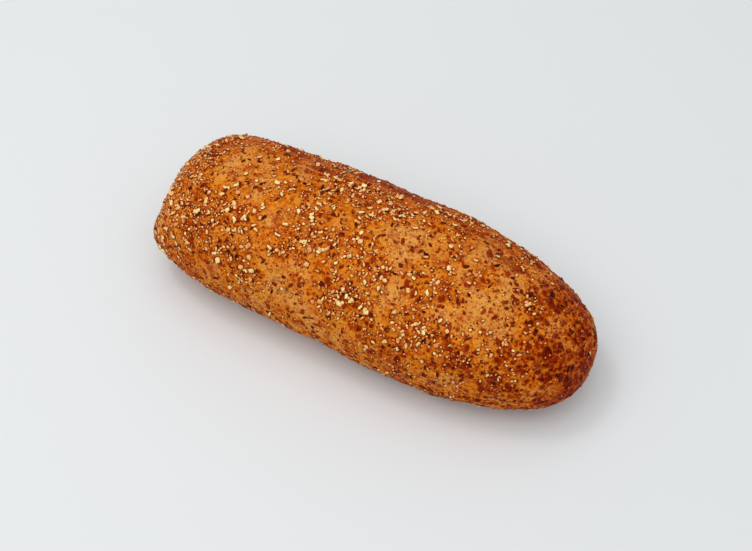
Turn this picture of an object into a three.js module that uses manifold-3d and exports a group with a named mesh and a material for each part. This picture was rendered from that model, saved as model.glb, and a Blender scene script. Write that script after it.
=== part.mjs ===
// A hearth-baked wholegrain loaf: one long oval body, blunt at one end and drawn out round at the other,
// domed on top and pressed flat underneath where it sat on the oven floor.
// Millimetres, +Z up. +X runs along the loaf towards its rounder end, and the origin lies in the middle
// of the footprint's bounding box, on the surface that the loaf stands on.
import * as THREE from "three";
import { mergeVertices } from "three/addons/utils/BufferGeometryUtils.js";
import Module from "manifold-3d";

// Driving dimensions.
const LENGTH = 288; // tip to tip
const WIDTH = 114; // across the fattest part
const HEIGHT = 82; // oven floor to the crown
const WIDEST_AT = 8; // how far past mid-length the fattest part lies, towards the round end
const WAIST_HEIGHT = 35; // where the sides stand upright, above the floor
const PRESSED_DEPTH = 7; // how much deeper the belly would hang if the oven floor had not flattened it

// How square the outlines of each half are, seen from above (plan) and from the side, over the waist
// (crown) and under it (belly). 2 is an ellipse, and larger numbers fill the corners. The tip of each
// half droops below the waist by the last number.
const BLUNT_END = { plan: 4.5, crown: 4, belly: 3, droop: 1.5 };
const ROUND_END = { plan: 2.5, crown: 2.2, belly: 2.6, droop: 4.5 };

// How square a section across the loaf is, over and under the waist.
const UPPER_SECTION = 2.15;
const LOWER_SECTION = 2.5;

// The fold: a lip where the dough was tucked under, low on the blunt end at its -Y corner.
const FOLD = { reach: 3.6, middleY: -34, halfWidth: 22, topZ: 40, edge: 2.2, depthX: 30 };
const FOLD_DIRECTION = new THREE.Vector3(-0.85, -0.5, 0).normalize();

// Shallow hollows in the flanks, where the dough rose less. The side is the sign of Y.
const HOLLOWS = [
  { x: -38, side: -1, depth: 2.1, halfLength: 30 },
  { x: -66, side: 1, depth: 1.2, halfLength: 34 },
];

// Slow unevenness of the dough, as waves along the loaf and around it.
const LUMPS = [
  { height: 0.55, wavelength: 96, turns: 2, phase: 0.7 },
  { height: 0.4, wavelength: 61, turns: 3, phase: 2.1 },
  { height: 0.3, wavelength: 43, turns: 5, phase: 4.4 },
];

// How finely the surface is divided.
const STEPS_AROUND = 44;
const STEPS_ALONG = 56;

const CRUST = new THREE.MeshStandardMaterial({ color: 0xb8702f, roughness: 0.62, metalness: 0 });

// A number raised to a power with its sign kept. It turns a circle's sine and cosine into a squarer outline.
const signedPower = (value, power) => Math.sign(value) * Math.abs(value) ** power;

// A smooth bell, 1 at zero and near nothing beyond two half-widths.
const bell = (distance, halfWidth) => Math.exp(-((distance / halfWidth) ** 2));

// How much of its full size a section keeps at a share t of the way to a tip.
const closing = (t, squareness) => (1 - t ** squareness) ** (1 / squareness);

// The dough's surface at one point of a unit sphere whose poles are the two tips.
function surfacePoint(onSphere) {
  const towardsRoundEnd = onSphere.x > 0;
  const end = towardsRoundEnd ? ROUND_END : BLUNT_END;
  const reach = LENGTH / 2 + (towardsRoundEnd ? -WIDEST_AT : WIDEST_AT);

  // The station along the loaf. Stations crowd together near a tip, so that the sections shrink evenly.
  const t = Math.min(1, Math.abs(onSphere.x) ** (2 / end.plan));
  const x = WIDEST_AT + Math.sign(onSphere.x) * t * reach;

  // The section at that station, around a waist that droops towards the tip.
  const around = Math.atan2(onSphere.y, onSphere.z);
  const isUpper = Math.cos(around) >= 0;
  const squareness = isUpper ? UPPER_SECTION : LOWER_SECTION;
  const across = signedPower(Math.sin(around), 2 / squareness);
  const upright = signedPower(Math.cos(around), 2 / squareness);
  const droop = end.droop * t ** 2;
  const halfWidth = (WIDTH / 2) * closing(t, end.plan);
  const crown = (HEIGHT - WAIST_HEIGHT) * closing(t, end.crown);
  const belly = (WAIST_HEIGHT + PRESSED_DEPTH - droop) * closing(t, end.belly);

  const y = across * halfWidth;
  const z = WAIST_HEIGHT - droop + upright * (isUpper ? crown : belly);
  return addUnevenness(new THREE.Vector3(x, y, z), around, closing(t, end.plan));
}

// Hollows and lumps act away from the loaf's middle line, and the lumps fade out with the section.
function addUnevenness(point, around, fullness) {
  const outwards = new THREE.Vector3(0, Math.sin(around), Math.cos(around));
  for (const { x, side, depth, halfLength } of HOLLOWS) {
    const facing = Math.max(0, side * outwards.y);
    point.addScaledVector(outwards, -depth * facing * bell(point.x - x, halfLength));
  }
  for (const { height, wavelength, turns, phase } of LUMPS) {
    const along = Math.sin((2 * Math.PI * point.x) / wavelength + phase);
    const turning = Math.cos(turns * around + phase);
    point.addScaledVector(outwards, height * along * turning * fullness);
  }
  return point.addScaledVector(FOLD_DIRECTION, FOLD.reach * foldAt(point));
}

// How strongly the tucked fold stands out at a point, from 0 to 1. Its upper edge is a short step.
function foldAt(point) {
  const below = 1 / (1 + Math.exp((point.z - FOLD.topZ) / FOLD.edge));
  const fromTip = Math.max(0, point.x + LENGTH / 2);
  return below * bell(point.y - FOLD.middleY, FOLD.halfWidth) * bell(fromTip, FOLD.depthX);
}

// The risen dough as a closed mesh, with its underside still round.
function doughGeometry() {
  const geometry = new THREE.SphereGeometry(1, STEPS_AROUND, STEPS_ALONG);
  geometry.rotateZ(-Math.PI / 2); // the poles go to the tips, along X
  const position = geometry.getAttribute("position");
  const onSphere = new THREE.Vector3();
  for (let i = 0; i < position.count; i += 1) {
    onSphere.fromBufferAttribute(position, i);
    const { x, y, z } = surfacePoint(onSphere);
    position.setXYZ(i, x, y, z);
  }
  geometry.deleteAttribute("normal");
  geometry.deleteAttribute("uv");
  return mergeVertices(geometry, 1e-3);
}

// The oven floor: a slab that takes in everything under the loaf.
function floorGeometry() {
  const margin = 40;
  const depth = 60;
  const slab = new THREE.BoxGeometry(LENGTH + margin, WIDTH + margin, depth);
  slab.translate(0, 0, -depth / 2);
  slab.deleteAttribute("normal");
  slab.deleteAttribute("uv");
  return mergeVertices(slab, 1e-3);
}

const wasm = await Module();
wasm.setup();

// A closed geometry as a solid that can be cut.
function solidFrom(geometry) {
  return new wasm.Manifold(
    new wasm.Mesh({
      numProp: 3,
      vertProperties: new Float32Array(geometry.getAttribute("position").array),
      triVerts: new Uint32Array(geometry.index.array),
    }),
  );
}

// A cut solid back as a three.js geometry.
function geometryFrom(solid) {
  const { numProp, numVert, vertProperties, triVerts } = solid.getMesh();
  const places = new Float32Array(numVert * 3);
  for (let i = 0; i < numVert; i += 1) {
    places.set(vertProperties.subarray(i * numProp, i * numProp + 3), i * 3);
  }
  const geometry = new THREE.BufferGeometry();
  geometry.setAttribute("position", new THREE.BufferAttribute(places, 3));
  geometry.setIndex(new THREE.BufferAttribute(new Uint32Array(triVerts), 1));
  return geometry;
}

// The baked loaf: the dough with its underside pressed flat, centred on its own footprint.
function loafGeometry() {
  const baked = solidFrom(doughGeometry()).subtract(solidFrom(floorGeometry()));
  const geometry = geometryFrom(baked);
  geometry.computeBoundingBox();
  const { min, max } = geometry.boundingBox;
  geometry.translate(-(min.x + max.x) / 2, -(min.y + max.y) / 2, 0);
  geometry.computeVertexNormals();
  return geometry;
}

const loaf = new THREE.Mesh(loafGeometry(), CRUST);
loaf.name = "loaf";

const breadLoaf = new THREE.Group();
breadLoaf.name = "bread_loaf";
breadLoaf.add(loaf);

export default breadLoaf;
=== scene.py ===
"""A whole multigrain hearth loaf, laid out as a small Blender add-on.

The crust is a fine skin over the loaf's solid, with the swellings, wrinkles and pores of baked dough.
The cereal on it is strewn in five kinds: cut grain, meal, bran flakes, linseed and malted grits.
Lengths are in metres unless a name says millimetres.
"""

import math
import random

import bmesh
import bpy
from bpy.props import FloatProperty, FloatVectorProperty, IntProperty, PointerProperty
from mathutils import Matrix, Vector


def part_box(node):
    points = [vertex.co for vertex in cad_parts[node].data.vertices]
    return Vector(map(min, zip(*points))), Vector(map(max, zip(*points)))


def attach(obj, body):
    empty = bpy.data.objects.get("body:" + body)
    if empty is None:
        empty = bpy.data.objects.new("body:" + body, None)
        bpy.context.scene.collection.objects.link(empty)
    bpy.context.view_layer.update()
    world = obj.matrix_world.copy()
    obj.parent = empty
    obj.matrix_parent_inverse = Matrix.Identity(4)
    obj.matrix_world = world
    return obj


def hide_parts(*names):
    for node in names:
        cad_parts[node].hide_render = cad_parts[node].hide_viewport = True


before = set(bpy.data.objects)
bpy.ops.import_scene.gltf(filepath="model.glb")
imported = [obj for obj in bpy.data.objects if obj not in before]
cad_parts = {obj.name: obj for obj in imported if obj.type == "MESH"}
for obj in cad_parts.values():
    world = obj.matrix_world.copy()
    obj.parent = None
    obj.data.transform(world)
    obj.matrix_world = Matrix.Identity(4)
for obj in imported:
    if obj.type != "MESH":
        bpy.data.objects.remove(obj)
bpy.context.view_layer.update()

bl_info = {
    "name": "Multigrain loaf",
    "version": (1, 0, 0),
    "blender": (4, 5, 0),
    "location": "3D View > Sidebar > Loaf",
    "description": "Builds a hearth-baked multigrain loaf with a seeded crust",
    "category": "Add Mesh",
}

MM = 0.001
LOW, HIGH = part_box("loaf")
LENGTH, WIDTH, HEIGHT = HIGH - LOW

# Sockets of a Mix node that mixes colours, which share their names with its other kinds' sockets.
FACTOR, COLOUR_A, COLOUR_B, MIXED = 0, 6, 7, 2
# Sockets of a Map Range node.
VALUE, FROM_LOW, FROM_HIGH, TO_LOW, TO_HIGH = range(5)
# Sockets of a Random Value node: its seed, and each kind's lowest and highest values and result.
RANDOM_SEED = 8
VECTOR_LOW, VECTOR_HIGH, VECTOR_OUT = 0, 1, 0
WHOLE_LOW, WHOLE_HIGH, WHOLE_OUT = 4, 5, 2
NUMBER_OUT = 1

# How a tree's nodes are laid out in the editor.
NODES_IN_COLUMN, COLUMN_STEP, ROW_STEP = 6, 190, -170

# The name that a piece's own bake map goes by.
BAKE_MAP = "OFBake"
# Where a grain's shape lies in its cell of that map: one disc for its upper side and one for its lower.
UPPER_DISC = Vector((0.25, 0.5))
LOWER_DISC = Vector((0.75, 0.5))
DISC_RADIUS = 0.23

# How far up from the floor the crust is smoother, where the floor pressed it.
PRESSED_BAND = 7 * MM
# No grain lies below the first of these heights, and all that fell stays on above the second.
GRAIN_STARTS, GRAIN_FULL = 2 * MM, 5 * MM

# The draw that gives each piece of grain its tone.
TONE_SEED = 99
# The shape of each piece is picked by a whole number up to this one, which wraps round the shapes' count.
PICKS = 1000

# How far apart the clumps of cut grain and meal lie, and which of the patterns of that size they follow.
CLUMP_MM = 32
CLUMP_SEED = 2228.0
# The stretch of the blunt end that grain rolled down, and what that adds to the noise that it clumps by.
BLUNT_STRETCH = 0.12 * LENGTH
BLUNT_FILLING = 0.12

# The tint of the light from all round, and that of the lights.
ROOM_TINT, LIGHT_TINT = "#f5fafd", "#fffdfb"
# Half the side of the worktop.
WORKTOP_REACH = 4.0


# Colour and node helpers ------------------------------------------------------------------------------


def linear(hex_colour):
    """An sRGB hex colour as the four linear values that Blender's sockets take."""
    parts = [int(hex_colour[i : i + 2], 16) / 255 for i in (1, 3, 5)]
    curve = [p / 12.92 if p <= 0.04045 else ((p + 0.055) / 1.055) ** 2.4 for p in parts]
    return (*curve, 1.0)


def per_mm(size):
    """The texture scale, in object space, whose features lie this many millimetres apart."""
    return 1 / (size * MM)


def add(tree, kind, inputs=None, **settings):
    """Adds a node with its settings, gives its inputs values or links, and returns its outputs."""
    node = tree.nodes.new(kind)
    column, row = divmod(len(tree.nodes), NODES_IN_COLUMN)
    node.location = (COLUMN_STEP * column, ROW_STEP * row)
    for name, value in settings.items():
        setattr(node, name, value)
    for key, value in (inputs or {}).items():
        if isinstance(value, bpy.types.NodeSocket):
            tree.links.new(value, node.inputs[key])
        else:
            node.inputs[key].default_value = value
    return node.outputs


def setting_name(label):
    """The name of the setting that goes with a tree's input."""
    return label.lower().replace(" ", "_")


def new_tree(name, inputs, output):
    """A geometry node tree with these named inputs, given as (name, socket type) pairs."""
    tree = bpy.data.node_groups.new(name, "GeometryNodeTree")
    for label, kind in inputs:
        tree.interface.new_socket(label, in_out="INPUT", socket_type=kind)
    tree.interface.new_socket(output, in_out="OUTPUT", socket_type="NodeSocketGeometry")
    return tree


def new_object(name, mesh):
    """Links a new object, at the origin, to the scene."""
    made = bpy.data.objects.new(name, mesh)
    bpy.context.scene.collection.objects.link(made)
    return made


def run_tree(piece, tree, values, name):
    """Runs a tree on a piece with these named inputs, and gives the result its own name."""
    modifier = piece.modifiers.new(tree.name, "NODES")
    modifier.node_group = tree
    sockets = {s.name: s for s in tree.interface.items_tree if s.in_out == "INPUT"}
    for label, value in values.items():
        modifier[sockets[label].identifier] = value
    return settled(piece, name)


def settled(piece, name):
    """The evaluated piece as a plain mesh object with no modifiers. The piece itself is removed."""
    bpy.context.view_layer.update()
    depsgraph = bpy.context.evaluated_depsgraph_get()
    mesh = bpy.data.meshes.new_from_object(piece.evaluated_get(depsgraph), depsgraph=depsgraph)
    bpy.data.objects.remove(piece)
    if not mesh.polygons:
        raise RuntimeError(f"{name} came out empty")
    return new_object(name, mesh)


# Settings ---------------------------------------------------------------------------------------------


def length_setting(name, description, millimetres):
    """A setting that is a length, with its default in millimetres."""
    return FloatProperty(
        name=name, description=description, default=millimetres * MM, min=0, unit="LENGTH", precision=5
    )


def colour_setting(name, description, hex_colour):
    """A setting that is a colour, with its default as sRGB hex."""
    return FloatVectorProperty(
        name=name,
        description=description,
        default=linear(hex_colour),
        size=4,
        min=0,
        max=1,
        subtype="COLOR",
    )


def count_setting(name, description, default):
    """A setting that is a whole number."""
    return IntProperty(name=name, description=description, default=default, min=0)


class CrustSettings(bpy.types.PropertyGroup):
    """The crust's relief and colours."""

    skin_grid: length_setting("Skin grid", "Spacing of the fine skin's faces", 1.1)
    swell_height: length_setting("Swell height", "Height of the slow swellings", 2.0)
    swell_length: length_setting("Swell length", "Distance between slow swellings", 42)
    lump_height: length_setting("Lump height", "Height of the small lumps", 0.85)
    lump_length: length_setting("Lump length", "Distance between small lumps", 9)
    wrinkle_depth: length_setting("Wrinkle depth", "Depth of the wrinkles that run along the loaf", 0.3)
    wrinkle_spacing: length_setting("Wrinkle spacing", "Distance between wrinkles", 17)
    pore_depth: length_setting("Pore depth", "Depth of the pores between the grains", 0.45)
    pore_spacing: length_setting("Pore spacing", "Distance between pores", 3.0)
    # The darker ring round each grain is partly toasting and partly painted shade.
    toast_and_shade_reach: length_setting("Toast reach", "How far the darker ring round each grain reaches", 1.3)
    golden: colour_setting("Golden", "Crust that took the heat evenly", "#e07809")
    straw: colour_setting("Straw", "Crust that the heat barely browned", "#e79830")
    floury: colour_setting("Floury", "Patches where flour dulls the crust", "#e8a554")
    # Also the colour of the painted shade in the pores and wrinkles and round each grain.
    chestnut: colour_setting("Chestnut", "Crust that baked longer", "#ae3c00")
    # Deepens the round end's bake, and paints shade on the far side.
    well_baked_and_shade: colour_setting("Well baked", "What deepens the round end and the far side", "#d07838")
    foot: colour_setting("Foot", "Crust near the oven floor, dulled by the flour under it", "#b87c3a")
    bran_russet: colour_setting("Russet bran", "The palest bran milled into the dough", "#8e1e00")
    bran_dark: colour_setting("Dark bran", "The darkest bran milled into the dough", "#3a0200")


class CutGrainSettings(bpy.types.PropertyGroup):
    """Cut oats and kibbled wheat, strewn on top before baking."""

    length: length_setting("Length", "Length of the largest pieces", 4.3)
    spacing: length_setting("Spacing", "Least distance between two pieces", 1.5)
    density: count_setting("Density", "Pieces to a square metre of crust, where they lie thickest", 122000)
    cream: colour_setting("Cream", "The palest pieces", "#ffe792")
    toasted: colour_setting("Toasted", "The most toasted pieces", "#e8861c")
    # Partly scorch, and partly painted shade on the sides of each piece.
    edge: colour_setting("Edge", "The scorched edges of each piece", "#bc6418")
    seed: count_setting("Seed", "Changes where the pieces fall", 4)


class MealSettings(bpy.types.PropertyGroup):
    """The fine meal that fell with the cut grain."""

    length: length_setting("Length", "Length of the largest crumbs", 1.7)
    spacing: length_setting("Spacing", "Least distance between two crumbs", 1.3)
    density: count_setting("Density", "Crumbs to a square metre of crust, where they lie thickest", 145000)
    cream: colour_setting("Cream", "The palest crumbs", "#ffd87c")
    toasted: colour_setting("Toasted", "The most toasted crumbs", "#dc7c1c")
    # Partly scorch, and partly painted shade on the sides of each crumb.
    edge: colour_setting("Edge", "The scorched edges of each crumb", "#a05014")
    seed: count_setting("Seed", "Changes where the crumbs fall", 51)


class BranSettings(bpy.types.PropertyGroup):
    """Bran flakes in the dough."""

    length: length_setting("Length", "Length of the largest flakes", 5.4)
    spacing: length_setting("Spacing", "Least distance between two flakes", 2.0)
    density: count_setting("Density", "Flakes to a square metre of crust", 50000)
    russet: colour_setting("Russet", "The palest flakes", "#a83404")
    dark: colour_setting("Dark", "The darkest flakes", "#340200")
    edge: colour_setting("Edge", "Where a flake sinks into the dough", "#b04808")
    seed: count_setting("Seed", "Changes where the flakes lie", 11)


class LinseedSettings(bpy.types.PropertyGroup):
    """Linseed in the dough."""

    length: length_setting("Length", "Length of the largest seeds", 4.2)
    spacing: length_setting("Spacing", "Least distance between two seeds", 9.0)
    density: count_setting("Density", "Seeds to a square metre of crust", 1300)
    brown: colour_setting("Brown", "The palest seeds", "#3a1002")
    black: colour_setting("Black", "The darkest seeds", "#200600")
    edge: colour_setting("Edge", "Where a seed sinks into the dough", "#5a1f06")
    seed: count_setting("Seed", "Changes where the seeds lie", 23)


class GritSettings(bpy.types.PropertyGroup):
    """Malted wheat grits in the dough."""

    length: length_setting("Length", "Length of the largest grits", 2.4)
    spacing: length_setting("Spacing", "Least distance between two grits", 2.2)
    density: count_setting("Density", "Grits to a square metre of crust", 30000)
    amber: colour_setting("Amber", "The palest grits", "#e69a3c")
    malt: colour_setting("Malt", "The darkest grits", "#a04408")
    edge: colour_setting("Edge", "Where a grit sinks into the dough", "#8a3a0a")
    seed: count_setting("Seed", "Changes where the grits lie", 37)


class StageSettings(bpy.types.PropertyGroup):
    """The worktop, the lights and the camera."""

    worktop: colour_setting("Worktop", "The pale floor", "#e6e8e9")
    window_power: FloatProperty(
        name="Window power", description="Strength of the soft light on one side", default=2.0, unit="POWER"
    )
    ceiling_power: FloatProperty(
        name="Ceiling power", description="Strength of the light overhead", default=17.0, unit="POWER"
    )
    lamp_power: FloatProperty(
        name="Lamp power", description="Strength of the small light that glints", default=1.6, unit="POWER"
    )
    room_light: FloatProperty(
        name="Room light", description="Strength of the light from all round", default=0.57, min=0
    )
    azimuth: FloatProperty(
        name="Azimuth",
        description="How far the camera stands round towards the round end",
        default=math.radians(28.13),
        subtype="ANGLE",
    )
    elevation: FloatProperty(
        name="Elevation",
        description="How high the camera looks down from, above the horizon",
        default=math.radians(55),
        subtype="ANGLE",
    )
    distance: length_setting("Distance", "From the camera to the middle of the loaf", 846)
    lens: FloatProperty(name="Lens", description="Focal length", default=65, unit="CAMERA")


# Finishes ---------------------------------------------------------------------------------------------


def new_finish(name, shade):
    """A material whose tree holds one Principled shader, which shade(tree) gives the inputs of."""
    material = bpy.data.materials.new(name)
    material.use_nodes = True
    tree = material.node_tree
    tree.nodes.clear()
    shader = add(tree, "ShaderNodeBsdfPrincipled", shade(tree))
    add(tree, "ShaderNodeOutputMaterial", {"Surface": shader["BSDF"]})
    return material


def baked_crust(settings):
    """Baked wholegrain dough: browned starch and sugar over a dull crumb, full of milled bran.

    To the eye it is a mottled orange-brown with a dry, faint gloss, darker at the round end, which stood
    nearer to the oven's wall, and duller near the floor, and flecked with reddish bran from dust to whole
    flakes. Painted shade darkens its far side, its pores and wrinkles, and, with some toasting, the dough
    round each grain on top.
    """

    def shade(tree):
        place = add(tree, "ShaderNodeTexCoord")["Object"]
        axes = add(tree, "ShaderNodeSeparateXYZ", {0: place})
        relief = add(tree, "ShaderNodeAttribute", attribute_name="relief")["Fac"]
        toast = add(tree, "ShaderNodeAttribute", attribute_name="toast")["Fac"]

        # How evenly the heat took: slow patches, a mottle on them, and the crumb and grain of the crust
        # itself. The cut grain clumps by the same patches: the dough browned deeper where more of it fell.
        clouds = {}
        for name, spacing, seed, detail, roughness in (
            ("patch", CLUMP_MM, CLUMP_SEED, 2.0, 0.5),
            ("mottle", 8.0, 0.0, 4.0, 0.6),
            ("crumb", 2.6, 0.0, 3.0, 0.65),
            ("grain", 1.3, 0.0, 2.0, 0.6),
        ):
            inputs = {
                "Vector": place,
                "W": seed,
                "Scale": per_mm(spacing),
                "Detail": detail,
                "Roughness": roughness,
            }
            clouds[name] = add(tree, "ShaderNodeTexNoise", inputs, noise_dimensions="4D")["Fac"]

        # Each layer of colour comes in while its field goes from start to end.
        layers = []
        for field, start, end, strength, colour in (
            (clouds["patch"], 0.5, 0.34, 0.8, settings.floury),
            (clouds["patch"], 0.5, 0.68, 0.5, settings.chestnut),
            (clouds["mottle"], 0.5, 0.64, 0.7, settings.straw),
            (clouds["mottle"], 0.49, 0.35, 0.85, settings.chestnut),
            (clouds["crumb"], 0.52, 0.64, 0.55, settings.straw),
            (clouds["crumb"], 0.48, 0.36, 0.7, settings.chestnut),
            (clouds["grain"], 0.56, 0.68, 0.5, settings.floury),
            (clouds["grain"], 0.45, 0.33, 0.6, settings.bran_russet),
            (axes["Z"], 0.3 * HEIGHT, 0.02 * HEIGHT, 0.65, settings.foot),
            # Painted shade: darker down in the pores and wrinkles.
            (relief, 0.45, 0.1, 0.6, settings.chestnut),
        ):
            inputs = {VALUE: field, FROM_LOW: start, FROM_HIGH: end, TO_LOW: 0.0, TO_HIGH: strength}
            share = add(tree, "ShaderNodeMapRange", inputs, interpolation_type="SMOOTHSTEP")[0]
            layers.append((share, colour, "MIX"))

        # Darker streaks that run along the far shoulder.
        drawn_out = add(tree, "ShaderNodeVectorMath", {0: place, 1: (0.2, 1, 1)}, operation="MULTIPLY")[0]
        inputs = {"Vector": drawn_out, "Scale": per_mm(11), "Detail": 2.0}
        creases = add(tree, "ShaderNodeTexNoise", inputs)["Fac"]
        inputs = {
            VALUE: axes["Y"],
            FROM_LOW: 0.1 * WIDTH,
            FROM_HIGH: 0.4 * WIDTH,
            TO_LOW: -0.2,
            TO_HIGH: 0.04,
        }
        shoulder = add(tree, "ShaderNodeMapRange", inputs)[0]
        creased = add(tree, "ShaderNodeMath", {0: creases, 1: shoulder})[0]
        inputs = {VALUE: creased, FROM_LOW: 0.49, FROM_HIGH: 0.59, TO_LOW: 0.0, TO_HIGH: 0.7}
        share = add(tree, "ShaderNodeMapRange", inputs, interpolation_type="SMOOTHSTEP")[0]
        layers.append((share, settings.bran_russet, "MIX"))

        # Milled bran: each size of fleck is a field of cells, some of which hold a fleck with a ragged rim.
        # The flecks are larger towards the round end, where the dough was stretched thin, and smaller
        # under flour.
        growth = 0.0
        for field, start, end, least, most in (
            (axes["X"], 0.1 * LENGTH, HIGH.x, 0.02, 0.2),
            (clouds["patch"], 0.36, 0.62, -0.16, 0.1),
        ):
            inputs = {VALUE: field, FROM_LOW: start, FROM_HIGH: end, TO_LOW: least, TO_HIGH: most}
            share = add(tree, "ShaderNodeMapRange", inputs)[0]
            growth = add(tree, "ShaderNodeMath", {0: growth, 1: share})[0]
        for cell_mm, share_held, darkest in (
            (5.6, 0.55, settings.bran_dark),
            (3.4, 0.65, settings.bran_dark),
            (2.1, 0.65, settings.bran_russet),
        ):
            cells = add(tree, "ShaderNodeTexVoronoi", {"Vector": place, "Scale": per_mm(cell_mm)})
            chance = add(tree, "ShaderNodeSeparateColor", {0: cells["Color"]})
            bare = 1 - share_held
            inputs = {VALUE: chance["Red"], FROM_LOW: bare, FROM_HIGH: 1.0, TO_LOW: 0.16, TO_HIGH: 0.5}
            radius = add(tree, "ShaderNodeMapRange", inputs)[0]
            inputs = {VALUE: clouds["grain"], FROM_LOW: 0.3, FROM_HIGH: 0.7, TO_LOW: -0.24, TO_HIGH: 0.24}
            ragged = add(tree, "ShaderNodeMapRange", inputs)[0]
            within = add(tree, "ShaderNodeMath", {0: radius, 1: cells["Distance"]}, operation="SUBTRACT")[0]
            depth = add(tree, "ShaderNodeMath", {0: within, 1: ragged})[0]
            depth = add(tree, "ShaderNodeMath", {0: depth, 1: growth})[0]
            inputs = {VALUE: depth, FROM_LOW: -0.04, FROM_HIGH: 0.26, TO_LOW: 0.0, TO_HIGH: 0.95}
            inside = add(tree, "ShaderNodeMapRange", inputs, interpolation_type="SMOOTHSTEP")[0]
            inputs = {0: chance["Red"], 1: bare}
            held = add(tree, "ShaderNodeMath", inputs, operation="GREATER_THAN")[0]
            share = add(tree, "ShaderNodeMath", {0: inside, 1: held}, operation="MULTIPLY")[0]
            inputs = {FACTOR: chance["Green"], COLOUR_A: darkest, COLOUR_B: settings.bran_russet}
            colour = add(tree, "ShaderNodeMix", inputs, data_type="RGBA")[MIXED]
            layers.append((share, colour, "MIX"))

        # The dough round each grain on top is darker, partly toasted and partly painted shade. The round
        # end stood furthest from the middle of the oven; its darker bake starts raggedly, further along
        # where the crumb stands proud. The far side is darkened with painted shade.
        inputs = {VALUE: clouds["crumb"], TO_LOW: 0.25 * LENGTH, TO_HIGH: -0.25 * LENGTH}
        offset = add(tree, "ShaderNodeMapRange", inputs)[0]
        along = add(tree, "ShaderNodeMath", {0: axes["X"], 1: offset})[0]
        for field, start, end, strength, colour in (
            # Toasting and painted shade round each grain on top.
            (toast, 0.0, 1.0, 0.85, settings.chestnut),
            (along, HIGH.x - 0.18 * LENGTH, HIGH.x, 0.6, settings.well_baked_and_shade),
            # Painted shade: the far side is darker.
            (axes["Y"], 0.0, 0.4 * WIDTH, 0.5, settings.well_baked_and_shade),
        ):
            inputs = {VALUE: field, FROM_LOW: start, FROM_HIGH: end, TO_LOW: 0.0, TO_HIGH: strength}
            share = add(tree, "ShaderNodeMapRange", inputs, interpolation_type="SMOOTHSTEP")[0]
            layers.append((share, colour, "MULTIPLY"))

        colour = settings.golden
        for share, layer, blend in layers:
            inputs = {FACTOR: share, COLOUR_A: colour, COLOUR_B: layer}
            colour = add(tree, "ShaderNodeMix", inputs, data_type="RGBA", blend_type=blend)[MIXED]

        # Dry crust, a little glossier where the sugar browned.
        inputs = {VALUE: clouds["mottle"], FROM_LOW: 0.3, FROM_HIGH: 0.7, TO_LOW: 0.6, TO_HIGH: 0.42}
        roughness = add(tree, "ShaderNodeMapRange", inputs)[0]
        inputs = {"Height": clouds["crumb"], "Distance": 1.2 * MM, "Strength": 0.9}
        bump = add(tree, "ShaderNodeBump", inputs)[0]
        return {
            "Base Color": colour,
            "Roughness": roughness,
            "Normal": bump,
            "IOR": 1.45,
            "Specular IOR Level": 0.04,
        }

    return new_finish("Baked wholegrain crust", shade)


def nugget_finish(name, colours, roughness, gloss, speckle):
    """A finish for one kind of grain, whose colours are its palest, its darkest and that of its edges.

    Each piece has a tone of its own between the first two, which a fine mottle shifts by the speckle. The
    edge colour is full at the waist and below and fades out towards the top: on the cut grain and meal it
    is partly scorch and partly painted shade on their sides.
    """
    pale, dark, edge = colours

    def shade(tree):
        place = add(tree, "ShaderNodeTexCoord")["Object"]
        tone = add(tree, "ShaderNodeAttribute", attribute_name="tone")["Fac"]
        crest = add(tree, "ShaderNodeAttribute", attribute_name="crest")["Fac"]
        inputs = {"Vector": place, "Scale": per_mm(1.1), "Detail": 2.0}
        mottle = add(tree, "ShaderNodeTexNoise", inputs)["Fac"]
        inputs = {VALUE: mottle, FROM_LOW: 0.3, FROM_HIGH: 0.7, TO_LOW: -speckle, TO_HIGH: speckle}
        swing = add(tree, "ShaderNodeMapRange", inputs)[0]
        share = add(tree, "ShaderNodeMath", {0: tone, 1: swing}, use_clamp=True)[0]
        inputs = {FACTOR: share, COLOUR_A: dark, COLOUR_B: pale}
        inner = add(tree, "ShaderNodeMix", inputs, data_type="RGBA")[MIXED]
        # The edge colour: on the cut grain and meal, partly scorch and partly painted shade on the sides.
        inputs = {VALUE: crest, FROM_LOW: 0.1, FROM_HIGH: 0.65, TO_LOW: 1.0, TO_HIGH: 0.0}
        rim = add(tree, "ShaderNodeMapRange", inputs, interpolation_type="SMOOTHSTEP")[0]
        inputs = {FACTOR: rim, COLOUR_A: inner, COLOUR_B: edge}
        colour = add(tree, "ShaderNodeMix", inputs, data_type="RGBA")[MIXED]
        inputs = {"Height": mottle, "Distance": 0.25 * MM, "Strength": 0.5}
        bump = add(tree, "ShaderNodeBump", inputs)[0]
        return {
            "Base Color": colour,
            "Roughness": roughness,
            "Normal": bump,
            "IOR": 1.5,
            "Specular IOR Level": gloss,
        }

    return new_finish(name, shade)


def pale_worktop(colour):
    """Honed pale stone: even, smooth and without shine."""
    return new_finish("Honed pale stone", lambda tree: {"Base Color": colour, "Roughness": 0.6})


# Crust ------------------------------------------------------------------------------------------------

CRUST_INPUTS = [
    ("Skin", "NodeSocketGeometry"),
    ("Finish", "NodeSocketMaterial"),
    ("Swell height", "NodeSocketFloat"),
    ("Swell length", "NodeSocketFloat"),
    ("Lump height", "NodeSocketFloat"),
    ("Lump length", "NodeSocketFloat"),
    ("Wrinkle depth", "NodeSocketFloat"),
    ("Wrinkle spacing", "NodeSocketFloat"),
    ("Pore depth", "NodeSocketFloat"),
    ("Pore spacing", "NodeSocketFloat"),
]


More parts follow.
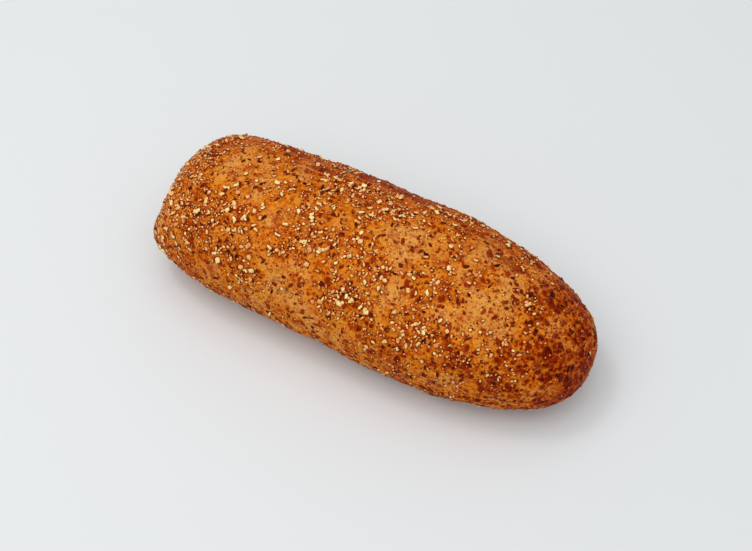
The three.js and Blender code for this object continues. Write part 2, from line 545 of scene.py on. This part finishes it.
def crust_tree():
    """Raises swellings and lumps in the skin, sinks wrinkles and pores, and rests it on the floor."""
    tree = new_tree("Crust relief", CRUST_INPUTS, "Crust")
    given = add(tree, "NodeGroupInput")
    place = add(tree, "GeometryNodeInputPosition")[0]
    normal = add(tree, "GeometryNodeInputNormal")[0]
    drawn_out = add(tree, "ShaderNodeVectorMath", {0: place, 1: (0.3, 1, 1)}, operation="MULTIPLY")[0]

    # Swellings and lumps count from the middle of their field, so that the loaf keeps its size. A wrinkle
    # is where its field crosses the middle, and a pore is the heart of a cell.
    total = 0.0
    fine = None
    cells, noise = "ShaderNodeTexVoronoi", "ShaderNodeTexNoise"
    for kind, vector, spacing, options, start, end, least, most, height in (
        (cells, place, "Pore spacing", {}, 0.05, 0.5, -1.0, 0.0, "Pore depth"),
        (noise, drawn_out, "Wrinkle spacing", {"Detail": 2.0}, 0.5, 0.535, -1.0, 0.0, "Wrinkle depth"),
        (noise, place, "Lump length", {"Detail": 3.0}, 0.2, 0.8, -0.5, 0.5, "Lump height"),
        (noise, place, "Swell length", {"Detail": 1.0}, 0.2, 0.8, -0.5, 0.5, "Swell height"),
    ):
        scale = add(tree, "ShaderNodeMath", {0: 1.0, 1: given[spacing]}, operation="DIVIDE")[0]
        field = add(tree, kind, {"Vector": vector, "Scale": scale, **options})[0]
        if height == "Wrinkle depth":
            # Folded about the middle, so that both sides of the crossing rise out of the wrinkle.
            field = add(tree, "ShaderNodeMath", {0: field, 1: start}, operation="SUBTRACT")[0]
            field = add(tree, "ShaderNodeMath", {0: field}, operation="ABSOLUTE")[0]
            field = add(tree, "ShaderNodeMath", {0: field, 1: start})[0]
        inputs = {VALUE: field, FROM_LOW: start, FROM_HIGH: end, TO_LOW: least, TO_HIGH: most}
        share = add(tree, "ShaderNodeMapRange", inputs, interpolation_type="SMOOTHSTEP")[0]
        inputs = {0: share, 1: given[height], 2: total}
        total = add(tree, "ShaderNodeMath", inputs, operation="MULTIPLY_ADD")[0]
        fine = total if height == "Lump height" else fine

    # The relief mark leaves out the swellings. It runs from 0 in the pores to 1 on the lumps. The crust's
    # colour reads it for the painted shade in its pores and wrinkles.
    mark = add(tree, "ShaderNodeMapRange", {VALUE: fine, FROM_LOW: -0.9 * MM, FROM_HIGH: 0.5 * MM})[0]
    inputs = {"Geometry": given["Skin"], "Name": "relief", "Value": mark}
    marked = add(tree, "GeometryNodeStoreNamedAttribute", inputs, data_type="FLOAT", domain="POINT")[0]

    # The underside lies where the floor pressed it, so the relief fades out towards it.
    height = add(tree, "ShaderNodeSeparateXYZ", {0: place})["Z"]
    off_floor = add(tree, "ShaderNodeMapRange", {VALUE: height, FROM_LOW: 0.0, FROM_HIGH: PRESSED_BAND})[0]
    reach = add(tree, "ShaderNodeMath", {0: total, 1: off_floor}, operation="MULTIPLY")[0]
    push = add(tree, "ShaderNodeVectorMath", {0: normal, "Scale": reach}, operation="SCALE")[0]
    raised = add(tree, "GeometryNodeSetPosition", {"Geometry": marked, "Offset": push})[0]
    rest = add(tree, "ShaderNodeVectorMath", {0: place, 1: (-1.0, -1.0, 0.0)}, operation="MAXIMUM")[0]
    rested = add(tree, "GeometryNodeSetPosition", {"Geometry": raised, "Position": rest})[0]
    smooth = add(tree, "GeometryNodeSetShadeSmooth", {"Geometry": rested})[0]
    finished = add(tree, "GeometryNodeSetMaterial", {"Geometry": smooth, "Material": given["Finish"]})[0]
    add(tree, "NodeGroupOutput", {"Crust": finished})
    return tree


def rounded_skin(grid):
    """A copy of the loaf's solid as an even, fine skin with its facets smoothed away."""
    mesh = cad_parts["loaf"].data.copy()
    shell = bmesh.new()
    shell.from_mesh(mesh)
    bmesh.ops.remove_doubles(shell, verts=shell.verts, dist=0.01 * MM)
    shell.to_mesh(mesh)
    shell.free()
    mesh.materials.clear()
    dough = new_object("dough", mesh)
    rounding = dough.modifiers.new("Round the facets", "SUBSURF")
    rounding.levels = rounding.render_levels = 2
    even = dough.modifiers.new("Even grid", "REMESH")
    even.mode = "VOXEL"
    even.voxel_size = grid
    settle = dough.modifiers.new("Settle the grid", "SMOOTH")
    settle.factor = 0.5
    settle.iterations = 8
    return settled(dough, "skin")


class LOAF_OT_crust(bpy.types.Operator):
    """Make the crust over the loaf's solid"""

    bl_idname = "loaf.crust"
    bl_label = "Crust"

    def execute(self, context):
        settings = context.scene.loaf_crust
        values = {"Finish": baked_crust(settings)}
        for label, kind in CRUST_INPUTS:
            if kind == "NodeSocketFloat":
                values[label] = getattr(settings, setting_name(label))
        run_tree(rounded_skin(settings.skin_grid), crust_tree(), values, "crust")
        return {"FINISHED"}


TOAST_AND_SHADE_INPUTS = [
    ("Crust", "NodeSocketGeometry"),
    ("Grain", "NodeSocketObject"),
    ("Reach", "NodeSocketFloat"),
]


def toast_and_shade_tree():
    """Marks how near each point of the crust is to a grain: 1 against it, and 0 past the reach. The crust's
    colour darkens by it, partly toasting and partly painted shade.
    """
    tree = new_tree("Toast round grain", TOAST_AND_SHADE_INPUTS, "Crust")
    given = add(tree, "NodeGroupInput")
    grain = add(tree, "GeometryNodeObjectInfo", {"Object": given["Grain"]})["Geometry"]
    distance = add(tree, "GeometryNodeProximity", {"Geometry": grain})["Distance"]
    inputs = {VALUE: distance, FROM_LOW: 0.0, FROM_HIGH: given["Reach"], TO_LOW: 1.0, TO_HIGH: 0.0}
    near = add(tree, "ShaderNodeMapRange", inputs)[0]
    inputs = {"Geometry": given["Crust"], "Name": "toast", "Value": near}
    marked = add(tree, "GeometryNodeStoreNamedAttribute", inputs, data_type="FLOAT", domain="POINT")[0]
    add(tree, "NodeGroupOutput", {"Crust": marked})
    return tree


class LOAF_OT_toast_and_shade(bpy.types.Operator):
    """Darken the crust round the cut grain, with toasting and painted shade, and put it in the place of the
    loaf's solid
    """

    bl_idname = "loaf.toast"
    bl_label = "Toasted rings"

    def execute(self, context):
        crust = bpy.data.objects["crust"]
        crust.name = "untoasted"
        values = {"Grain": bpy.data.objects["cut_grain"], "Reach": context.scene.loaf_crust.toast_and_shade_reach}
        crust = run_tree(crust, toast_and_shade_tree(), values, "crust")
        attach(crust, "root")
        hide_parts("loaf")
        return {"FINISHED"}


# Grain ------------------------------------------------------------------------------------------------


def nugget(name, proportions, roundness, chops=0, curl=0.0, taper=0.0, ragged=0.0, smooth=True, seed=0):
    """A small closed body of 24 faces and unit length, from which one shape of grain is made.

    roundness takes it from a block, 0, to an egg, 1. chops are flat broken faces, and ragged is how far
    each corner strays. curl bends its ends up, and taper draws one end out to a point. A cracked grain
    isn't smooth: light catches its flat faces.
    Its crest attribute runs from 0 at the waist to 1 on top.
    """
    rng = random.Random(seed)
    body = bmesh.new()
    bmesh.ops.create_cube(body, size=1.0)
    bmesh.ops.subdivide_edges(body, edges=body.edges[:], cuts=1, use_grid_fill=True)
    disc = body.loops.layers.uv.new("Disc")
    crest = body.verts.layers.float.new("crest")
    for face in body.faces:
        centre = UPPER_DISC if face.calc_center_median().z > 0 else LOWER_DISC
        for loop in face.loops:
            x, y, z = loop.vert.co.normalized()
            radius = DISC_RADIUS * math.acos(min(1.0, abs(z))) / (math.pi / 2)
            turn = math.atan2(y, x)
            loop[disc].uv = centre + radius * Vector((math.cos(turn), math.sin(turn)))
        face.smooth = smooth
    cuts = []
    for _ in range(chops):
        facing = Vector([rng.uniform(-1, 1) for _ in range(3)]).normalized()
        cuts.append((facing, rng.uniform(0.3, 0.4)))
    for vert in body.verts:
        vert[crest] = max(0.0, vert.co.normalized().z)
        place = vert.co.lerp(vert.co.normalized() * 0.5, roundness)
        for facing, reach in cuts:
            place -= facing * max(0.0, place.dot(facing) - reach)
        place += Vector([rng.uniform(-ragged, ragged) for _ in range(3)])
        place.y *= 1 - taper * (place.x + 0.5)
        place = Vector([a * b for a, b in zip(place, proportions)])
        place.z += curl * (2 * place.x) ** 2
        vert.co = place
    mesh = bpy.data.meshes.new(name)
    body.to_mesh(mesh)
    body.free()
    return bpy.data.objects.new(name, mesh)


def shape_box(name, shapes):
    """The shapes of one kind of grain, in a collection that isn't part of the scene."""
    box = bpy.data.collections.new(name)
    for shape in shapes:
        box.objects.link(shape)
    return box


STREW_INPUTS = [
    ("Crust", "NodeSocketGeometry"),
    ("Shapes", "NodeSocketCollection"),
    ("Finish", "NodeSocketMaterial"),
    ("Length", "NodeSocketFloat"),
    ("Smallest share", "NodeSocketFloat"),
    ("Spacing", "NodeSocketFloat"),
    ("Density", "NodeSocketFloat"),
    ("Lift", "NodeSocketFloat"),
    ("Tilt", "NodeSocketFloat"),
    ("Flank share", "NodeSocketFloat"),
    ("Far share", "NodeSocketFloat"),
    ("Tip share", "NodeSocketFloat"),
    ("Clumping", "NodeSocketFloat"),
    ("Clump size", "NodeSocketFloat"),
    ("Clump seed", "NodeSocketFloat"),
    ("Seed", "NodeSocketInt"),
]


def strew_tree():
    """Strews shapes over the crust, sets them into it at random angles, and lays out their bake map."""
    tree = new_tree("Strew grain", STREW_INPUTS, "Grain")
    given = add(tree, "NodeGroupInput")
    place = add(tree, "GeometryNodeInputPosition")[0]
    axes = add(tree, "ShaderNodeSeparateXYZ", {0: place})

    # Where the grain fell: in loose clumps, thickest on top and down the blunt end, which it fills more
    # evenly, and thinner on the flanks, the far side and the round end.
    inputs = {VALUE: axes["X"], FROM_LOW: LOW.x + BLUNT_STRETCH, FROM_HIGH: LOW.x}
    on_blunt_end = add(tree, "ShaderNodeMapRange", inputs)[0]
    inputs = {0: on_blunt_end, 1: 0.5 * HEIGHT, 2: axes["Z"]}
    height = add(tree, "ShaderNodeMath", inputs, operation="MULTIPLY_ADD")[0]
    clump_scale = add(tree, "ShaderNodeMath", {0: 1.0, 1: given["Clump size"]}, operation="DIVIDE")[0]
    inputs = {"Vector": place, "W": given["Clump seed"], "Scale": clump_scale, "Detail": 2.0}
    clumps = add(tree, "ShaderNodeTexNoise", inputs, noise_dimensions="4D")["Fac"]
    inputs = {0: on_blunt_end, 1: BLUNT_FILLING, 2: clumps}
    clumps = add(tree, "ShaderNodeMath", inputs, operation="MULTIPLY_ADD")[0]
    sparse = add(tree, "ShaderNodeMath", {0: 1.0, 1: given["Clumping"]}, operation="SUBTRACT")[0]
    density = 1.0
    for field, start, end, low, high in (
        (height, 0.5 * HEIGHT, 0.85 * HEIGHT, given["Flank share"], 1.0),
        (axes["Y"], 0.05 * WIDTH, 0.35 * WIDTH, 1.0, given["Far share"]),
        (axes["X"], HIGH.x - 0.19 * LENGTH, HIGH.x - 0.1 * LENGTH, 1.0, given["Tip share"]),
        (axes["Z"], GRAIN_STARTS, GRAIN_FULL, 0.0, 1.0),
        (clumps, 0.4, 0.62, sparse, 1.0),
    ):
        inputs = {VALUE: field, FROM_LOW: start, FROM_HIGH: end, TO_LOW: low, TO_HIGH: high}
        share = add(tree, "ShaderNodeMapRange", inputs, interpolation_type="SMOOTHSTEP")[0]
        density = add(tree, "ShaderNodeMath", {0: density, 1: share}, operation="MULTIPLY")[0]
    fallen = add(
        tree,
        "GeometryNodeDistributePointsOnFaces",
        {
            "Mesh": given["Crust"],
            "Distance Min": given["Spacing"],
            "Density Max": given["Density"],
            "Density Factor": density,
            "Seed": given["Seed"],
        },
        distribute_method="POISSON",
    )

    # Small pieces are commoner than large ones, so the size follows the square of an even chance. Each is
    # stretched a little its own way.
    inputs = {RANDOM_SEED: given["Seed"]}
    chance = add(tree, "FunctionNodeRandomValue", inputs, data_type="FLOAT")[NUMBER_OUT]
    squared = add(tree, "ShaderNodeMath", {0: chance, 1: chance}, operation="MULTIPLY")[0]
    inputs = {VALUE: squared, TO_LOW: given["Smallest share"], TO_HIGH: 1.0}
    share = add(tree, "ShaderNodeMapRange", inputs)[0]
    size = add(tree, "ShaderNodeMath", {0: given["Length"], 1: share}, operation="MULTIPLY")[0]
    inputs = {VECTOR_LOW: (0.85, 0.8, 0.8), VECTOR_HIGH: (1.0, 1.2, 1.2), RANDOM_SEED: given["Seed"]}
    stretch = add(tree, "FunctionNodeRandomValue", inputs, data_type="FLOAT_VECTOR")[VECTOR_OUT]
    scale = add(tree, "ShaderNodeVectorMath", {0: stretch, "Scale": size}, operation="SCALE")[0]
    inputs = {WHOLE_LOW: 0, WHOLE_HIGH: PICKS, RANDOM_SEED: given["Seed"]}
    pick = add(tree, "FunctionNodeRandomValue", inputs, data_type="INT")[WHOLE_OUT]
    inputs = {"Collection": given["Shapes"], "Separate Children": True, "Reset Children": True}
    shapes = add(tree, "GeometryNodeCollectionInfo", inputs)[0]
    laid = add(
        tree,
        "GeometryNodeInstanceOnPoints",
        {
            "Points": fallen["Points"],
            "Instance": shapes,
            "Pick Instance": True,
            "Instance Index": pick,
            "Rotation": fallen["Rotation"],
            "Scale": scale,
        },
    )[0]

    # Each piece is lifted off the crust or sunk into it, then turned and tipped where it lies.
    lift = add(tree, "ShaderNodeCombineXYZ", {2: given["Lift"]})[0]
    inputs = {"Instances": laid, "Translation": lift, "Local Space": True}
    lifted = add(tree, "GeometryNodeTranslateInstances", inputs)[0]
    back = add(tree, "ShaderNodeMath", {0: given["Tilt"], 1: -1.0}, operation="MULTIPLY")[0]
    least = add(tree, "ShaderNodeCombineXYZ", {0: back, 1: back, 2: 0.0})[0]
    most = add(tree, "ShaderNodeCombineXYZ", {0: given["Tilt"], 1: given["Tilt"], 2: math.tau})[0]
    inputs = {VECTOR_LOW: least, VECTOR_HIGH: most, RANDOM_SEED: given["Seed"]}
    turn = add(tree, "FunctionNodeRandomValue", inputs, data_type="FLOAT_VECTOR")[VECTOR_OUT]
    inputs = {"Instances": lifted, "Rotation": turn, "Local Space": True}
    turned = add(tree, "GeometryNodeRotateInstances", inputs)[0]

    # Each piece carries a tone, drawn apart from its size, and its number.
    tone = add(tree, "FunctionNodeRandomValue", {RANDOM_SEED: TONE_SEED}, data_type="FLOAT")[NUMBER_OUT]
    number = add(tree, "GeometryNodeInputIndex")[0]
    marked = turned
    for name, value in (("tone", tone), ("cell", number)):
        inputs = {"Geometry": marked, "Name": name, "Value": value}
        marked = add(
            tree, "GeometryNodeStoreNamedAttribute", inputs, data_type="FLOAT", domain="INSTANCE"
        )[0]
    realised = add(tree, "GeometryNodeRealizeInstances", {"Geometry": marked})[0]

    # The bake map is a square of cells, one for each piece, so that no two pieces share a spot.
    total = add(tree, "GeometryNodeAttributeDomainSize", {"Geometry": marked}, component="INSTANCES")
    side = add(tree, "ShaderNodeMath", {0: total["Instance Count"]}, operation="SQRT")[0]
    across = add(tree, "ShaderNodeMath", {0: side}, operation="CEIL")[0]
    cell = add(tree, "GeometryNodeInputNamedAttribute", {"Name": "cell"}, data_type="FLOAT")["Attribute"]
    middle = add(tree, "ShaderNodeMath", {0: cell, 1: 0.5})[0]
    rows = add(tree, "ShaderNodeMath", {0: middle, 1: across}, operation="DIVIDE")[0]
    row = add(tree, "ShaderNodeMath", {0: rows}, operation="FLOOR")[0]
    before = add(tree, "ShaderNodeMath", {0: row, 1: across}, operation="MULTIPLY")[0]
    column = add(tree, "ShaderNodeMath", {0: cell, 1: before}, operation="SUBTRACT")[0]
    corner = add(tree, "ShaderNodeCombineXYZ", {0: column, 1: row})[0]
    inputs = {"Name": "Disc"}
    disc = add(tree, "GeometryNodeInputNamedAttribute", inputs, data_type="FLOAT_VECTOR")["Attribute"]
    moved = add(tree, "ShaderNodeVectorMath", {0: disc, 1: corner})[0]
    shrink = add(tree, "ShaderNodeMath", {0: 1.0, 1: across}, operation="DIVIDE")[0]
    spot = add(tree, "ShaderNodeVectorMath", {0: moved, "Scale": shrink}, operation="SCALE")[0]
    inputs = {"Geometry": realised, "Name": BAKE_MAP, "Value": spot}
    mapped = add(tree, "GeometryNodeStoreNamedAttribute", inputs, data_type="FLOAT2", domain="CORNER")[0]
    trimmed = add(tree, "GeometryNodeRemoveAttribute", {"Geometry": mapped, "Name": "Disc"})[0]
    finished = add(tree, "GeometryNodeSetMaterial", {"Geometry": trimmed, "Material": given["Finish"]})[0]
    add(tree, "NodeGroupOutput", {"Grain": finished})
    return tree


# The clumps of what was strewn on top by hand: cut grain and meal.
BY_HAND = {"clump_size": CLUMP_MM * MM, "clump_seed": CLUMP_SEED}
# What was kneaded in lies as thick on the flanks, the far side and the round end as on top.
KNEADED_IN = {"flank_share": 1.0, "far_share": 1.0, "tip_share": 1.0}


def strew(name, slot, settings, shapes, finish, **values):
    """Strews one kind of grain on the crust as one plain mesh, which rides with the loaf."""
    carrier = new_object(name + "_carrier", bpy.data.objects["crust"].data.copy())
    tree = bpy.data.node_groups.get("Strew grain") or strew_tree()
    given = {
        "Shapes": shape_box(name + "_shapes", shapes),
        "Finish": finish,
        "Length": settings.length,
        "Spacing": settings.spacing,
        "Density": float(settings.density),
        "Seed": settings.seed,
    }
    labels = {setting_name(label): label for label, _ in STREW_INPUTS}
    given.update({labels[key]: value for key, value in values.items()})
    piece = run_tree(carrier, tree, given, name)
    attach(piece, "root")


class LOAF_OT_cut_grain(bpy.types.Operator):
    """Strew cut oats and kibbled wheat over the top of the loaf"""

    bl_idname = "loaf.cut_grain"
    bl_label = "Cut grain"

    def execute(self, context):
        settings = context.scene.loaf_cut_grain
        # Toasted cereal starch: opaque, satin and pale, with brown edges that are partly scorch and partly
        # painted shade.
        finish = nugget_finish(
            "Toasted cut grain",
            (settings.cream, settings.toasted, settings.edge),
            roughness=0.25,
            gloss=0.9,
            speckle=0.4,
        )
        chunks = [
            nugget(f"kibbled_wheat_{i}", (1.0, 0.68, 0.42), 0.5, chops=3, ragged=0.09, smooth=False, seed=i)
            for i in range(4)
        ]
        slivers = [
            nugget(f"cut_oat_{i}", (1.0, 0.46, 0.34), 0.6, chops=2, curl=0.08, ragged=0.08, seed=20 + i)
            for i in range(5)
        ]
        flakes = [
            nugget(f"oat_flake_{i}", (1.0, 0.74, 0.2), 0.7, chops=1, curl=0.16, ragged=0.09, seed=40 + i)
            for i in range(4)
        ]
        strew(
            "cut_grain",
            "cut_grain",
            settings,
            chunks + slivers + flakes,
            finish,
            smallest_share=0.3,
            lift=0.05,
            tilt=math.radians(20),
            flank_share=0.3,
            far_share=0.6,
            tip_share=0.15,
            clumping=0.9,
            **BY_HAND,
        )
        return {"FINISHED"}


class LOAF_OT_meal(bpy.types.Operator):
    """Strew the fine meal that fell with the cut grain"""

    bl_idname = "loaf.meal"
    bl_label = "Meal"

    def execute(self, context):
        settings = context.scene.loaf_meal
        # The same starch as the cut grain, in crumbs that toast faster, with edges that are partly scorch
        # and partly painted shade.
        finish = nugget_finish(
            "Toasted meal",
            (settings.cream, settings.toasted, settings.edge),
            roughness=0.35,
            gloss=0.5,
            speckle=0.35,
        )
        shapes = [
            nugget(f"crumb_{i}", (1.0, 0.8, 0.6), 0.5, chops=2, ragged=0.08, smooth=False, seed=100 + i)
            for i in range(4)
        ]
        strew(
            "meal",
            "cut_grain",
            settings,
            shapes,
            finish,
            smallest_share=0.45,
            lift=0.08,
            tilt=math.radians(30),
            flank_share=0.4,
            far_share=0.7,
            tip_share=0.25,
            clumping=0.75,
            **BY_HAND,
        )
        return {"FINISHED"}


class LOAF_OT_bran(bpy.types.Operator):
    """Press bran flakes into the crust"""

    bl_idname = "loaf.bran"
    bl_label = "Bran flakes"

    def execute(self, context):
        settings = context.scene.loaf_bran
        # The wheat's husk: a thin, dry, woody skin that bakes to a red-brown.
        finish = nugget_finish(
            "Baked bran",
            (settings.russet, settings.dark, settings.edge),
            roughness=0.5,
            gloss=0.06,
            speckle=0.45,
        )
        widths = (0.5, 0.62, 0.74)
        shapes = [
            nugget(f"bran_{i}", (1.0, widths[i % 3], 0.2), 0.8, chops=2, curl=0.06, ragged=0.1, seed=60 + i)
            for i in range(8)
        ]
        strew(
            "bran",
            "bran",
            settings,
            shapes,
            finish,
            smallest_share=0.3,
            lift=-0.02,
            tilt=math.radians(6),
            clumping=0.45,
            clump_size=11 * MM,
            **KNEADED_IN,
        )
        return {"FINISHED"}


class LOAF_OT_linseed(bpy.types.Operator):
    """Press linseed into the crust"""

    bl_idname = "loaf.linseed"
    bl_label = "Linseed"

    def execute(self, context):
        settings = context.scene.loaf_linseed
        # A hard seed coat with a natural polish.
        finish = nugget_finish(
            "Baked linseed",
            (settings.brown, settings.black, settings.edge),
            roughness=0.35,
            gloss=0.08,
            speckle=0.15,
        )
        shapes = [nugget(f"linseed_{i}", (1.0, 0.52, 0.3), 1.0, taper=0.35, seed=80 + i) for i in range(3)]
        strew(
            "linseed",
            "seed",
            settings,
            shapes,
            finish,
            smallest_share=0.75,
            lift=0.03,
            tilt=math.radians(10),
            clumping=0.3,
            clump_size=40 * MM,
            **KNEADED_IN,
        )
        return {"FINISHED"}


class LOAF_OT_grits(bpy.types.Operator):
    """Work malted grits into the crust"""

    bl_idname = "loaf.grits"
    bl_label = "Malted grits"

    def execute(self, context):
        settings = context.scene.loaf_grits
        # Sprouted, dried and cracked wheat: amber, half clear and a little glossy.
        finish = nugget_finish(
            "Malted wheat grit",
            (settings.amber, settings.malt, settings.edge),
            roughness=0.4,
            gloss=0.3,
            speckle=0.2,
        )
        shapes = [
            nugget(f"grit_{i}", (1.0, 0.8, 0.6), 0.6, chops=2, ragged=0.05, seed=90 + i) for i in range(4)
        ]
        strew(
            "malted_grits",
            "grit",
            settings,
            shapes,
            finish,
            smallest_share=0.35,
            lift=0.02,
            tilt=math.radians(25),
            flank_share=0.8,
            far_share=1.0,
            tip_share=0.7,
            clumping=0.6,
            clump_size=15 * MM,
        )
        return {"FINISHED"}


# Stage ------------------------------------------------------------------------------------------------


class LOAF_OT_stage(bpy.types.Operator):
    """Lay the worktop, hang the lights and place the camera"""

    bl_idname = "loaf.stage"
    bl_label = "Stage"

    def execute(self, context):
        settings = context.scene.loaf_stage
        self.lay_worktop(settings)
        self.light(context.scene, settings)
        self.place_camera(context.scene, settings)
        return {"FINISHED"}

    def lay_worktop(self, settings):
        """A floor far larger than the view, level with the loaf's underside."""
        half = WORKTOP_REACH
        corners = [(-half, -half), (half, -half), (half, half), (-half, half)]
        mesh = bpy.data.meshes.new("worktop")
        mesh.from_pydata([(x, y, LOW.z) for x, y in corners], [], [(0, 1, 2, 3)])
        mesh.materials.append(pale_worktop(settings.worktop))
        new_object("worktop", mesh)

    def light(self, scene, settings):
        """Even light from all round and overhead, a soft window beyond the blunt end, and a small lamp."""
        world = bpy.data.worlds.new("Pale room")
        world.use_nodes = True
        background = world.node_tree.nodes["Background"]
        background.inputs["Color"].default_value = linear(ROOM_TINT)
        background.inputs["Strength"].default_value = settings.room_light
        scene.world = world
        for name, size, power, place in (
            ("ceiling", 2.6, settings.ceiling_power, (-0.1, -0.35, 1.7)),
            ("window", 1.0, settings.window_power, (-0.6, -0.5, 1.3)),
            ("lamp", 0.25, settings.lamp_power, (-0.5, 0.0, 1.3)),
        ):
            light = bpy.data.lights.new(name, "AREA")
            light.size = size
            light.energy = power
            light.color = linear(LIGHT_TINT)[:3]
            holder = new_object(name, light)
            holder.location = place
            holder.rotation_euler = (-holder.location).to_track_quat("-Z", "Y").to_euler()

    def place_camera(self, scene, settings):
        """The camera looks down on the loaf from the side, round towards its round end."""
        data = bpy.data.cameras.new("camera")
        data.lens = settings.lens
        camera = new_object("camera", data)
        flat = math.cos(settings.elevation)
        back = Vector(
            (
                math.sin(settings.azimuth) * flat,
                -math.cos(settings.azimuth) * flat,
                math.sin(settings.elevation),
            )
        )
        # The loaf sits a little high in the view, so the camera aims just below its middle.
        aim = Vector((2.0, -4.0, 37.6)) * MM
        camera.location = aim + back * settings.distance
        camera.rotation_euler = back.to_track_quat("Z", "Y").to_euler()
        scene.camera = camera
        scene.view_settings.view_transform = "Standard"


# Add-on -----------------------------------------------------------------------------------------------


class LOAF_PT_panel(bpy.types.Panel):
    """The loaf's steps and their settings"""

    bl_idname = "LOAF_PT_panel"
    bl_label = "Multigrain loaf"
    bl_space_type = "VIEW_3D"
    bl_region_type = "UI"
    bl_category = "Loaf"

    def draw(self, context):
        for operator, holder in STEPS:
            box = self.layout.box()
            box.operator(operator.bl_idname)
            if holder:
                settings = getattr(context.scene, holder)
                for name in settings.__annotations__:
                    box.prop(settings, name)


STEPS = [
    (LOAF_OT_crust, "loaf_crust"),
    (LOAF_OT_cut_grain, "loaf_cut_grain"),
    (LOAF_OT_meal, "loaf_meal"),
    (LOAF_OT_bran, "loaf_bran"),
    (LOAF_OT_linseed, "loaf_linseed"),
    (LOAF_OT_grits, "loaf_grits"),
    (LOAF_OT_toast_and_shade, None),
    (LOAF_OT_stage, "loaf_stage"),
]
HOLDERS = {
    "loaf_crust": CrustSettings,
    "loaf_cut_grain": CutGrainSettings,
    "loaf_meal": MealSettings,
    "loaf_bran": BranSettings,
    "loaf_linseed": LinseedSettings,
    "loaf_grits": GritSettings,
    "loaf_stage": StageSettings,
}
CLASSES = [*HOLDERS.values(), *(operator for operator, _ in STEPS), LOAF_PT_panel]


def register():
    for cls in CLASSES:
        bpy.utils.register_class(cls)
    for holder, group in HOLDERS.items():
        setattr(bpy.types.Scene, holder, PointerProperty(type=group))


def unregister():
    for holder in HOLDERS:
        delattr(bpy.types.Scene, holder)
    for cls in reversed(CLASSES):
        bpy.utils.unregister_class(cls)


def main():
    """Builds the loaf on its stage."""
    register()
    bpy.ops.loaf.crust()
    bpy.ops.loaf.cut_grain()
    bpy.ops.loaf.meal()
    bpy.ops.loaf.bran()
    bpy.ops.loaf.linseed()
    bpy.ops.loaf.grits()
    bpy.ops.loaf.toast()
    bpy.ops.loaf.stage()


if __name__ == "__main__":
    main()
